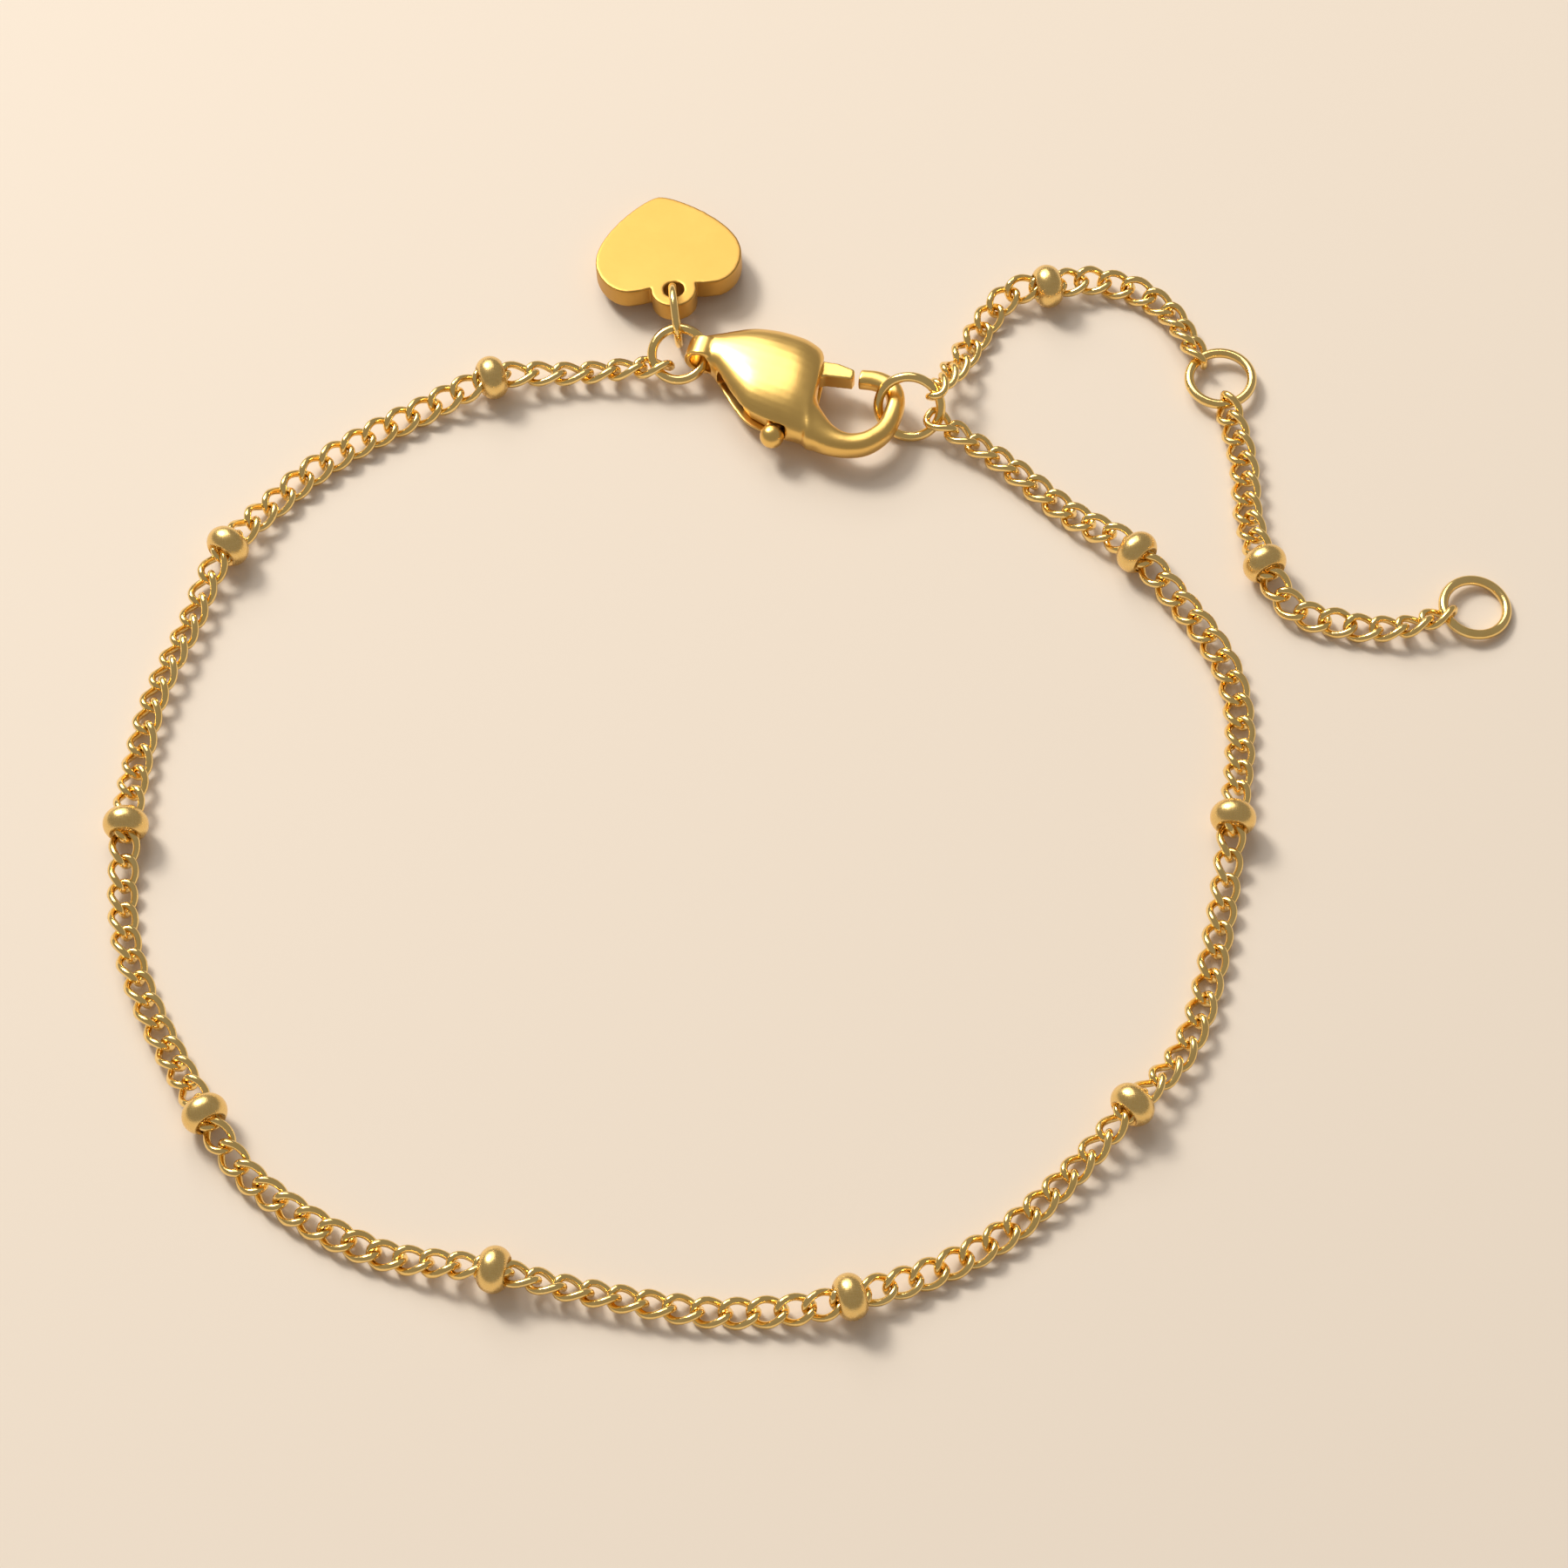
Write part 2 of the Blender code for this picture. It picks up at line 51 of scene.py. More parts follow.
# %% [markdown]
# ## Camera
#
# The camera looks down at the table at about sixty degrees. A long lens from a hand's length
# keeps the loop's far side nearly as large as its near side. The whole camera is rolled by two
# degrees, because the picture is. Such a camera is easiest to build as a chain of matrices: go
# to the target, lean back, step away, roll.

# %% Camera
TARGET = Vector((-1.6, -2.95, 0.0)) * MM
DISTANCE = 223.1 * MM
ELEVATION = math.radians(59.58)
CAMERA_ROLL = math.radians(-2.16)

lens = bpy.data.cameras.new("camera")
lens.sensor_width = 36
lens.lens = 110
lens.clip_start = 0.01
camera = bpy.data.objects.new("camera", lens)
lean = Matrix.Rotation(math.pi / 2 - ELEVATION, 4, "X")
step_back = Matrix.Translation((0, 0, DISTANCE))
roll = Matrix.Rotation(CAMERA_ROLL, 4, "Z")
camera.matrix_world = Matrix.Translation(TARGET) @ lean @ step_back @ roll
bpy.context.scene.collection.objects.link(camera)
bpy.context.scene.camera = camera
print("camera:", round(DISTANCE / MM), "mm away, lens", round(lens.lens), "mm")

# %% [markdown]
# ## Shader maths
#
# A finish is mostly arithmetic on patterns: this noise times that mask, added to a roughness.
# Wrapping a socket in a small class lets the arithmetic be written as Python expressions, and
# each operator adds one Math node. Every other node comes from one method, which takes its
# settings first and its inputs after.

# %% A socket that arithmetic works on
class Socket:
    """An output socket. Each operator adds a Math node and gives its result."""

    def __init__(self, finish, output):
        self.finish = finish
        self.output = output

    def math(self, operation, *values):
        return self.finish.node("ShaderNodeMath", {"operation": operation}, *values)

    def __add__(self, other):
        return self.math("ADD", self, other)

    def __radd__(self, other):
        return self.math("ADD", other, self)

    def __mul__(self, other):
        return self.math("MULTIPLY", self, other)

    def __rmul__(self, other):
        return self.math("MULTIPLY", other, self)


# %% A finish: one material and its shader
class Finish:
    """A metallic material. Its nodes are added by node(), and its inputs are set by set()."""

    def __init__(self, name):
        self.material = bpy.data.materials.new(name)
        self.material.use_nodes = True
        self.tree = self.material.node_tree
        self.shader = self.tree.nodes["Principled BSDF"]
        self.set("Metallic", 1.0)
        coordinates = self.tree.nodes.new("ShaderNodeTexCoord")
        self.place = Socket(self, coordinates.outputs["Object"])

    def connect(self, value, target):
        if isinstance(value, Socket):
            self.tree.links.new(value.output, target)
        elif value is not None:
            target.default_value = value

    def node(self, kind, settings, *values, output=0, **inputs):
        made = self.tree.nodes.new(kind)
        for name, setting in settings.items():
            setattr(made, name, setting)
        for value, target in zip(values, made.inputs):
            self.connect(value, target)
        for name, value in inputs.items():
            self.connect(value, made.inputs[name.replace("_", " ")])
        return Socket(self, made.outputs[output])

    def set(self, name, value):
        self.connect(value, self.shader.inputs[name])

    def stretched(self, scale, turn=(0.0, 0.0, 0.0)):
        """The piece's own coordinates, scaled unevenly so that a noise becomes streaks."""
        return self.node("ShaderNodeMapping", {}, Vector=self.place, Scale=scale, Rotation=turn)

    def noise(self, scale, detail=3.0, place=None):
        return self.node(
            "ShaderNodeTexNoise", {}, Vector=place or self.place, Scale=scale, Detail=detail)

    def mix(self, amount, low, high):
        """A colour that goes from low to high with amount."""
        made = self.tree.nodes.new("ShaderNodeMix")
        made.data_type = "RGBA"
        self.connect(amount, made.inputs[0])
        self.connect(low, made.inputs[6])
        self.connect(high, made.inputs[7])
        return Socket(self, made.outputs[2])

    def bump(self, height, depth):
        relief = self.node("ShaderNodeBump", {}, Strength=1.0, Distance=depth, Height=height)
        self.set("Normal", relief)


print("shader helpers ready")

# %% [markdown]
# ## Gold
#
# Gold plate is a metal: its colour sits in the reflection, so a warm base colour and a low
# roughness do most of the work. What makes it real is that the polish isn't even. A cloudy
# noise shifts the colour and the roughness a little, and a finer one dents the surface by a
# few thousandths of a millimetre, which breaks the highlights up.

# %% The golds' colours
GOLD = (0.95, 0.64, 0.20, 1.0)
GOLD_PALE = (1.0, 0.77, 0.34, 1.0)
GOLD_BROWN = (0.82, 0.50, 0.14, 1.0)
SATIN_GOLD = (0.64, 0.38, 0.10, 1.0)
SATIN_BROWN = (0.58, 0.33, 0.08, 1.0)

# %% The golds' patterns: noise scales for each millimetre, and bump depths in millimetres
PER_MM = 1 / MM
BROAD_CLOUD = 0.35 * PER_MM
HEART_CLOUD = 0.5 * PER_MM
WIRE_CLOUD = 0.8 * PER_MM
HANDLING = 2.2 * PER_MM
DRAWN = 5.0 * PER_MM
SCUFFS = 3.0 * PER_MM
GRAIN = 4.0 * PER_MM
HANDLING_DEPTH = 0.002 * MM
DRAWN_DEPTH = 0.006 * MM
SCUFF_DEPTH = 0.008 * MM
GRAIN_DEPTH = 0.003 * MM
BRUSHED_WAY = (0.0, 0.0, 0.5)
SCUFFED_WAY = (0.0, 0.0, 0.6)


# %% The gold finishes
def polished_gold():
    """The clasp's gold: buffed smooth, then dulled a little by handling."""
    finish = Finish("polished_gold")
    cloud = finish.noise(BROAD_CLOUD, 2.0)
    handling = finish.noise(HANDLING, 5.0)
    finish.set("Base Color", finish.mix(cloud * 0.7, GOLD, GOLD_BROWN))
    finish.set("Roughness", 0.25 + 0.1 * handling)
    finish.bump(handling, HANDLING_DEPTH)
    return finish.material


def wire_gold():
    """Wire gold: pale and bright, with the fine marks of the plate it was drawn through."""
    finish = Finish("wire_gold")
    cloud = finish.noise(WIRE_CLOUD, 2.0)
    drawn = finish.noise(DRAWN, 4.0)
    finish.set("Base Color", finish.mix(cloud, GOLD_PALE, GOLD))
    finish.set("Roughness", 0.06 + 0.14 * drawn)
    finish.bump(drawn, DRAWN_DEPTH)
    return finish.material


def scuffed_gold():
    """Bead gold: tumbled with its neighbours, so it carries short crossing scratches."""
    finish = Finish("scuffed_gold")
    along = finish.noise(SCUFFS, 4.0, finish.stretched((1.0, 6.0, 1.0)))
    across = finish.noise(SCUFFS, 4.0, finish.stretched((6.0, 1.0, 3.0), SCUFFED_WAY))
    scuffs = along * 0.5 + across * 0.5
    finish.set("Base Color", finish.mix(scuffs, GOLD_BROWN, GOLD_PALE))
    finish.set("Roughness", 0.15 + 0.24 * scuffs)
    finish.bump(scuffs, SCUFF_DEPTH)
    return finish.material


def satin_gold():
    """The heart's finish: brushed by hand one way, so its grain is long and fine."""
    finish = Finish("satin_gold")
    grain = finish.noise(GRAIN, 5.0, finish.stretched((1.0, 9.0, 3.0), BRUSHED_WAY))
    cloud = finish.noise(HEART_CLOUD, 2.0)
    finish.set("Base Color", finish.mix(cloud, SATIN_BROWN, SATIN_GOLD))
    finish.set("Roughness", 0.36 + 0.16 * grain)
    finish.bump(grain, GRAIN_DEPTH)
    return finish.material


POLISHED = polished_gold()
WIRE_GOLD = wire_gold()
SCUFFED = scuffed_gold()
SATIN = satin_gold()
print("finishes:", [m.name for m in (POLISHED, WIRE_GOLD, SCUFFED, SATIN)])

# %% [markdown]
# ## From a bmesh to a piece
#
# Everything is modelled at a scale of one unit to the millimetre, where the merge distances of
# Blender's operators suit it, and scaled down once at the end. A finished piece keeps its place
# in its mesh, and its object stays at the origin.

# %% Finish a piece
def new_object(name, made, material=None):
    """An object of a bmesh in millimetres, smooth shaded."""
    mesh = bpy.data.meshes.new(name)
    made.to_mesh(mesh)
    made.free()
    mesh.shade_smooth()
    piece = bpy.data.objects.new(name, mesh)
    bpy.context.scene.collection.objects.link(piece)
    if material:
        mesh.materials.append(material)
    return piece


def finished(name, made, material, slot, *nodes, body="bracelet"):
    """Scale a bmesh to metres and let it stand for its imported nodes."""
    bmesh.ops.scale(made, vec=(MM, MM, MM), verts=made.verts)
    piece = new_object(name, made, material)
    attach(piece, body)
    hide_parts(*nodes)
    print(name, len(piece.data.polygons), "faces")
    return piece


# %% [markdown]
# ## Where a ring or a bead lies
#
# A round piece needs no table of places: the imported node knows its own. The mean of its corners
# is its middle, and the direction in which they spread least is its axis.

# %% Read a round piece's place from its node
def round_place(node):
    """A matrix in millimetres at the node's middle, with z along its axis, and its radius."""
    corners = np.array([vertex.co[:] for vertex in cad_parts[node].data.vertices]) * PER_MM
    corners = np.unique(corners.round(4), axis=0)
    middle = corners.mean(axis=0)
    spread = np.linalg.svd(corners - middle)[2]
    along, side, axis = (Vector(row) for row in spread)
    if axis.z < 0:
        axis.negate()
    side = axis.cross(along)
    turn = Matrix((along, side, axis)).transposed().to_4x4()
    flat = (corners - middle) @ np.array(spread[:2]).T
    return Matrix.Translation(middle) @ turn, float(np.hypot(*flat.T).max())


# %% [markdown]
# ## Jump rings
#
# A jump ring is a turn of round wire. Spinning a circle round an axis beside it gives just that,
# and merging the last step with the first closes the ring. This wire is rounder and a little
# thicker than the node's, so a leaning ring is lifted by whatever it would sink into the table.

# %% Jump rings
RING_WIRE = 0.48
TAG_WIRE = 0.40
RING_STEPS = 72
WIRE_SIDES = 14


def wire_ring(radius, wire, steps, sides):
    """A ring of round wire about z. The radius is to the wire's middle."""
    ring = bmesh.new()
    upright = Matrix.Translation((radius, 0, 0)) @ Matrix.Rotation(math.pi / 2, 4, "X")
    bmesh.ops.create_circle(ring, segments=sides, radius=wire / 2, matrix=upright)
    bmesh.ops.spin(
        ring, geom=ring.verts[:] + ring.edges[:], cent=(0, 0, 0), axis=(0, 0, 1),
        angle=math.tau, steps=steps, use_merge=True)
    bmesh.ops.recalc_face_normals(ring, faces=ring.faces)
    return ring


for node, wire in (
        ("tail_ring", RING_WIRE), ("tag_ring", TAG_WIRE), ("hook_ring", RING_WIRE),
        ("middle_ring", RING_WIRE), ("end_ring", RING_WIRE)):
    place, outer = round_place(node)
    ring = wire_ring(outer - wire / 2, wire, RING_STEPS, WIRE_SIDES)
    ring.transform(place)
    below = min(0.0, min(vertex.co.z for vertex in ring.verts))
    bmesh.ops.translate(ring, verts=ring.verts, vec=(0, 0, -below))
    finished("round_" + node, ring, WIRE_GOLD, "polished_gold", node)

# %% [markdown]
# ## Beads
#
# Each bead is a half-round ring with its bore eased at both ends. Spinning one corner draws the
# arc of its profile, and the bore's straight wall closes it. The profile is then spun round the
# bore, and a bevel eases the two sharp rims.

# %% Beads
BEAD_RADIUS = 1.07
BEAD_BORE = 0.70
BEAD_WIDTH = 1.26
BEAD_ARC_STEPS = 14
BEAD_STEPS = 56
BEAD_EASE = 0.05
LOOP_BEADS = 9


def round_bead():
    """A bead about z. Its arc runs through the bore's two edges and the widest point."""
    half = BEAD_WIDTH / 2
    reach = BEAD_RADIUS - BEAD_BORE
    arc_radius = (half ** 2 + reach ** 2) / (2 * reach)
    centre = Vector((BEAD_RADIUS - arc_radius, 0, 0))
    sweep = 2 * math.asin(half / arc_radius)
    bead = bmesh.new()
    corner = bmesh.ops.create_vert(bead, co=(BEAD_BORE, 0, half))["vert"][0]
    bmesh.ops.spin(
        bead, geom=[corner], cent=centre, axis=(0, 1, 0), angle=sweep, steps=BEAD_ARC_STEPS)
    ends = [vertex for vertex in bead.verts if len(vertex.link_edges) == 1]
    bead.edges.new(ends)
    bmesh.ops.spin(
        bead, geom=bead.verts[:] + bead.edges[:], cent=(0, 0, 0), axis=(0, 0, 1),
        angle=math.tau, steps=BEAD_STEPS, use_merge=True)
    rims = [edge for edge in bead.edges if edge.calc_face_angle(0) > math.radians(60)]
    bmesh.ops.bevel(
        bead, geom=rims, offset=BEAD_EASE, offset_type="OFFSET", affect="EDGES", segments=3,
        profile=0.5, material=-1)
    bmesh.ops.recalc_face_normals(bead, faces=bead.faces)
    return bead


loop_beads = [f"bead_{number + 1}" for number in range(LOOP_BEADS)]
for node in [*loop_beads, "extension_bead", "end_bead"]:
    bead = round_bead()
    bead.transform(round_place(node)[0])
    finished("round_" + node, bead, SCUFFED, "bead_gold", node)

# %% [markdown]
# ## Curb links
#
# A curb link is an oval of wire with its ends twisted against its middle, so that the chain lies
# flat. One link is spun as a plain ring, then each of its points is moved: the ring's angle says
# where along the oval the point goes, and the oval's ends are turned about its length.

# %% One curb link
PITCH = 16 / 13
WIRE = 0.36
LINK_WIDTH = 1.50
BEAD_LINK_WIDTH = 1.24
TWIST = math.radians(-48)
FULLNESS = 0.75
LINK_STEPS = 28
LINK_SIDES = 10


def curb_link(width):
    link = wire_ring(1.0, WIRE, LINK_STEPS, LINK_SIDES)
    half_length = (PITCH + WIRE) / 2
    half_width = (LINK_WIDTH - WIRE) / 2
    squeezed = (width - WIRE) / 2

    def middle(angle):
        turn = TWIST * math.cos(angle)
        side = math.copysign(abs(math.sin(angle)) ** FULLNESS, math.sin(angle))
        across = max(-squeezed, min(squeezed, half_width * side))
        return Vector((half_length * math.cos(angle), across * math.cos(turn),
                       across * math.sin(turn)))

    for vertex in link.verts:
        angle = math.atan2(vertex.co.y, vertex.co.x)
        outside = math.hypot(vertex.co.x, vertex.co.y) - 1.0
        along = (middle(angle + 0.01) - middle(angle - 0.01)).normalized()
        outward = middle(angle)
        outward = (outward - outward.project(along)).normalized()
        vertex.co = middle(angle) + outward * outside + outward.cross(along) * vertex.co.z
    bmesh.ops.recalc_face_normals(link, faces=link.faces)
    mesh = bpy.data.meshes.new("curb_link")
    link.to_mesh(mesh)
    link.free()
    return mesh


WIDE_LINK = curb_link(LINK_WIDTH)
BEAD_LINK = curb_link(BEAD_LINK_WIDTH)
print("one link:", len(WIDE_LINK.polygons), "faces")

# %% [markdown]
# ## Laying the chain
#
# The chain follows the points of its route, joined by a smooth curve. Nine of the loop's points
# are its beads, measured in the photograph. The others lie beside the chain's middle line, which
# a scratch program traced there. Links are set out along the curve one pitch apart, so the chain
# keeps its real length wherever it climbs to a bead or to a ring. It also rolls a little to one
# side and the other, as a chain laid down by hand does. The points were set before the heart's
# length was settled, so all of them move by the quarter of a millimetre that brings the whole
# bracelet's box back over the origin.

# %% The route of each run, in millimetres
LOOP_ROUTE = (
    (-7.2, 20.6), (-9.6, 20.7), (-12.9, 20.6), (-15.3, 20.2), (-19.4, 18.3), (-24.0, 15.3),
    (-27.9, 10.8), (-29.6, 6.7), (-31.3, 1.9), (-32.1, -4.9), (-31.6, -11.3), (-27.8, -19.6),
    (-25.1, -23.1), (-20.6, -26.0), (-15.1, -27.4), (-7.4, -29.3), (-3.0, -29.7), (0.6, -29.3),
    (7.0, -26.6), (13.2, -20.7), (16.6, -16.2), (18.9, -6.6), (19.6, 1.6), (15.9, 8.3),
    (12.9, 11.1), (9.4, 14.6), (6.76, 16.57),
)
EXTENSION_ROUTE = (
    (6.64, 17.92), (7.32, 19.55), (9.4, 23.2), (10.8, 24.45), (12.3, 24.5), (14.4, 25.0),
    (16.6, 24.4), (18.2, 23.0), (19.35, 20.48),
)
END_ROUTE = (
    (20.61, 17.02), (21.1, 14.0), (21.1, 10.6), (21.6, 7.8), (22.9, 5.4), (25.8, 4.4),
    (28.0, 4.28), (29.6, 4.75),
)
OFF_CENTRE = Vector((0, 0.25))
print("route points:", len(LOOP_ROUTE), len(EXTENSION_ROUTE), len(END_ROUTE))


# %% Set out the links
# Each rise is the height of a raised link, then those of its neighbours, in millimetres.
LIFT = 0.035
BEAD_RISE = (1.08, 0.93, 0.74, 0.57)
RING_RISE = (1.02, 0.82, 0.62)


def smooth_route(points, steps=12):
    """A Catmull-Rom curve through the points, as many short straight steps."""
    points = [Vector(point) - OFF_CENTRE for point in points]
    ends = [2 * points[0] - points[1], *points, 2 * points[-1] - points[-2]]
    line = []
    for before, start, end, after in zip(ends, ends[1:], ends[2:], ends[3:]):
        for step in range(steps):
            t = step / steps
            bend = 2 * before - 5 * start + 4 * end - after
            turn = 3 * start - before - 3 * end + after
            line.append(start + 0.5 * (t * (end - before) + t * t * bend + t ** 3 * turn))
    line.append(ends[-2])
    return line


def point_along(line, distance):
    for start, end in zip(line, line[1:]):
        length = (end - start).length
        if distance <= length:
            return start + (end - start) * (distance / length)
        distance -= length
    return end + (end - start) * (distance / length)


def lay_chain(route, count, lifts, roll_at, slack):
    """Middle point and roll of each link. lifts gives, for a link that a bead or a ring raises,
    its height and its neighbours' heights. slack is taken out of the steps it names."""
    line = smooth_route(route)
    corners = [corner.co.copy() for corner in WIDE_LINK.vertices]
    travelled = 0.0
    links = []
    for number in range(count):
        roll = roll_at(number)
        lowest = min(corner.y * math.sin(roll) + corner.z * math.cos(roll) for corner in corners)
        height = LIFT - lowest
        for raised, rise in lifts.items():
            steps_away = abs(number - raised)
            if steps_away < len(rise):
                height = max(height, rise[steps_away])
        if links:
            step = PITCH - slack.get(number, 0.0)
            climb = height - links[-1][0].z
            travelled += math.sqrt(max(step * step - climb * climb, 0.0))
        place = point_along(line, travelled)
        links.append((Vector((place.x, place.y, height)), roll))
    return links


def frame_along(place, direction, roll):
    along = direction.normalized()
    side = Vector((0, 0, 1)).cross(along).normalized()
    turn = Matrix((along, side, along.cross(side))).transposed().to_4x4()
    return Matrix.Translation(place) @ turn @ Matrix.Rotation(roll, 4, "X")


def chain_of(links, numbers, bead_links):
    """One bmesh of the links in numbers. Those in beads are squeezed to fit the bore."""
    chain = bmesh.new()
    for number in numbers:
        place, roll = links[number]
        before = links[max(number - 1, 0)][0]
        after = links[min(number + 1, len(links) - 1)][0]
        reach = (after - before).length / PITCH / (1 if number in (0, len(links) - 1) else 2)
        chain.from_mesh(BEAD_LINK if number in bead_links else WIDE_LINK)
        chain.verts.ensure_lookup_table()
        added = chain.verts[-len(WIDE_LINK.vertices):]
        drawn_out = Matrix.Diagonal((max(reach, 1.0), 1, 1, 1))
        bmesh.ops.transform(
            chain, matrix=frame_along(place, after - before, roll) @ drawn_out, verts=added)
    return chain


# %% The loop
LINKS_PER_BEAD = 13
LINKS_BEFORE = 6
LINKS_AFTER = 10
LENGTH_BEFORE = 8.0
LENGTH_AFTER = 12.0
LINKS = LINKS_BEFORE + (LOOP_BEADS - 1) * LINKS_PER_BEAD + 1 + LINKS_AFTER
ROLL = math.radians(30)
ROLL_WAVES = 5
MEETING = 0.09

bead_links = [LINKS_BEFORE + bead * LINKS_PER_BEAD for bead in range(LOOP_BEADS)]
lifts = {link: BEAD_RISE for link in bead_links}
lifts[0] = lifts[LINKS - 1] = RING_RISE
slack = {number: PITCH - LENGTH_BEFORE / LINKS_BEFORE for number in range(1, LINKS_BEFORE + 1)}
slack.update({number: PITCH - LENGTH_AFTER / LINKS_AFTER
              for number in range(LINKS - LINKS_AFTER, LINKS)})
slack[LINKS // 2] = MEETING
loop = lay_chain(
    LOOP_ROUTE, LINKS, lifts,
    lambda number: ROLL * math.cos(math.tau * ROLL_WAVES * number / (LINKS - 1)), slack)
left = chain_of(loop, range(LINKS // 2), bead_links)
right = chain_of(loop, range(LINKS // 2, LINKS), bead_links)
finished("curb_chain_left", left, WIRE_GOLD, "polished_gold", "chain_left")
finished("curb_chain_right", right, WIRE_GOLD, "polished_gold", "chain_right")

# %% [markdown]
# ## The extension chain
#
# The extension chain is too fine for the imported model's triangles, so two plain tubes hold its
# place there. Here its links come back. The first hooks the ring that the clasp holds, one more
# sits in each bead, and the last of each run hooks a flat ring. A link that hooks a ring has to
# cross its wire, so the links beside a ring are rolled over step by step. The ends of both
# routes, and the heights and rolls of the two links beside each ring, come from a scratch
# program's random search for places where a link passes through its ring and cuts nothing. The
# other links' were set one by one. The pitch of each stretch is changed by a hair until the
# stretch ends where its bead or its ring is.

# %% The two runs of the extension chain: heights in millimetres and rolls in degrees
HOOK_RISE = (2.07, 1.52, 1.0, 0.7)
HOOK_ROLLS = (-71, -42, -12, 12)
FLAT_RING_RISE = (0.64, 0.6)
FLAT_RING_ROLLS = (44, 40, 30)
LAST_ROLLS = (-40, -34, -16, 2)
FREE = math.radians(20)
FIT_ROUNDS = 12


def fitted_run(route, start_rise, start_rolls, bead_node):
    """Links over a whole route, and the number of the link in the bead."""
    line = smooth_route(route)
    spans = [(end - start).length for start, end in zip(line, line[1:])]
    bead_at = round_place(bead_node)[0].translation.xy
    nearest = min(range(len(line)), key=lambda step: (line[step] - bead_at).length)
    in_bead = round(sum(spans[:nearest]) / PITCH)
    count = in_bead + round(sum(spans[nearest:]) / PITCH) + 1
    lifts = {0: start_rise, in_bead: BEAD_RISE, count - 1: FLAT_RING_RISE}
    rolls = {number: math.radians(roll) for number, roll in enumerate(start_rolls)}
    rolls.update({count - 1 - number: math.radians(roll)
                  for number, roll in enumerate(LAST_ROLLS)})
    slack = dict.fromkeys(range(1, count), 0.0)
    for attempt in range(FIT_ROUNDS):
        links = lay_chain(route, count, lifts, lambda number: rolls.get(number, FREE), slack)
        for numbers, goal in ((range(1, in_bead + 1), bead_at),
                              (range(in_bead + 1, count), line[-1])):
            last, before = (links[numbers[-1] - step][0].xy for step in (0, 1))
            over = (last - goal).dot((last - before).normalized())
            slack.update({number: slack[number] + over / len(numbers) for number in numbers})
    print(bead_node, count, "links, bead on", in_bead, "off by",
          round((links[in_bead][0].xy - bead_at).length, 3), "pitch",
          round(PITCH - slack[1], 3), round(PITCH - slack[count - 1], 3))
    return links, in_bead


for node, name, route, rise, rolls, bead_node in (
        ("extension_chain", "extension_links", EXTENSION_ROUTE, HOOK_RISE, HOOK_ROLLS,
         "extension_bead"),
        ("end_chain", "end_links", END_ROUTE, FLAT_RING_RISE, FLAT_RING_ROLLS, "end_bead")):
    run, in_bead = fitted_run(route, rise, rolls, bead_node)
    links = chain_of(run, range(len(run)), [in_bead])
    finished(name, links, WIRE_GOLD, "polished_gold", node)

# %% [markdown]
# ## Castings
#
# The clasp and the heart are castings: every edge is soft and every joint has a fillet. Boolean
# modifiers put the masses together and cut them. A voxel remesh then turns the result into one
# even skin, and smoothing it rounds each edge by about a voxel, as polishing does.

# %% Cast one skin from masses and cuts
def cast(name, body, steps, voxel, rounds):
    """A bmesh of the body after its Boolean steps, with its edges rounded."""
    cast_object = new_object(name, body)
    tools = []
    for operation, tool in steps:
        tools.append(new_object(name + "_" + operation.lower(), tool))
        step = cast_object.modifiers.new(operation, "BOOLEAN")
        step.operation = operation
        step.object = tools[-1]
    remesh = cast_object.modifiers.new("skin", "REMESH")
    remesh.mode = "VOXEL"
    remesh.voxel_size = voxel
    bpy.context.view_layer.update()
    graph = bpy.context.evaluated_depsgraph_get()
    mesh = bpy.data.meshes.new_from_object(cast_object.evaluated_get(graph))
    for used in [cast_object, *tools]:
        bpy.data.objects.remove(used)
    skin = bmesh.new()
    skin.from_mesh(mesh)
    for attempt in range(rounds):
        bmesh.ops.smooth_vert(
            skin, verts=skin.verts, factor=0.5, use_axis_x=True, use_axis_y=True,
            use_axis_z=True)
    return skin


def slab(outline, thickness):
    """A flat outline about z = 0, made solid."""
    made = bmesh.new()
    corners = [bmesh.ops.create_vert(made, co=(*point, -thickness / 2))["vert"][0]
               for point in outline]
    rim = [made.edges.new(pair) for pair in zip(corners, corners[1:] + corners[:1])]
    face = bmesh.ops.contextual_create(made, geom=rim)["faces"]
    raised = bmesh.ops.extrude_face_region(made, geom=face)["geom"]
    top = [part for part in raised if isinstance(part, bmesh.types.BMVert)]
    bmesh.ops.translate(made, verts=top, vec=(0, 0, thickness))
    bmesh.ops.recalc_face_normals(made, faces=made.faces)
    return made


def rod(radius, length, place, turn=Matrix(), segments=40):
    """A cylinder about z, turned, then moved."""
    made = bmesh.new()
    bmesh.ops.create_cone(
        made, cap_ends=True, segments=segments, radius1=radius, radius2=radius, depth=length,
        matrix=Matrix.Translation(place) @ turn)
    return made


# %% [markdown]
# ## The clasp's body
#
# The body is a loft: oval sections along a bent spine, from the tail's eye over the broad middle
# to the hook's tip. A curve through the sections' own numbers gives the many in-between ones,
# and bridging neighbouring loops makes the skin. A power a little under one fills each oval's
# corners, as a pressed casting's are.

# %% The clasp's sections, in its own frame and in millimetres
CLASP_PLACE = Vector((-4.7, 20.70, 1.4))
CLASP_TURN = math.radians(-17.5)
CLASP_FRAME = Matrix.Translation(CLASP_PLACE) @ Matrix.Rotation(CLASP_TURN, 4, "Z")

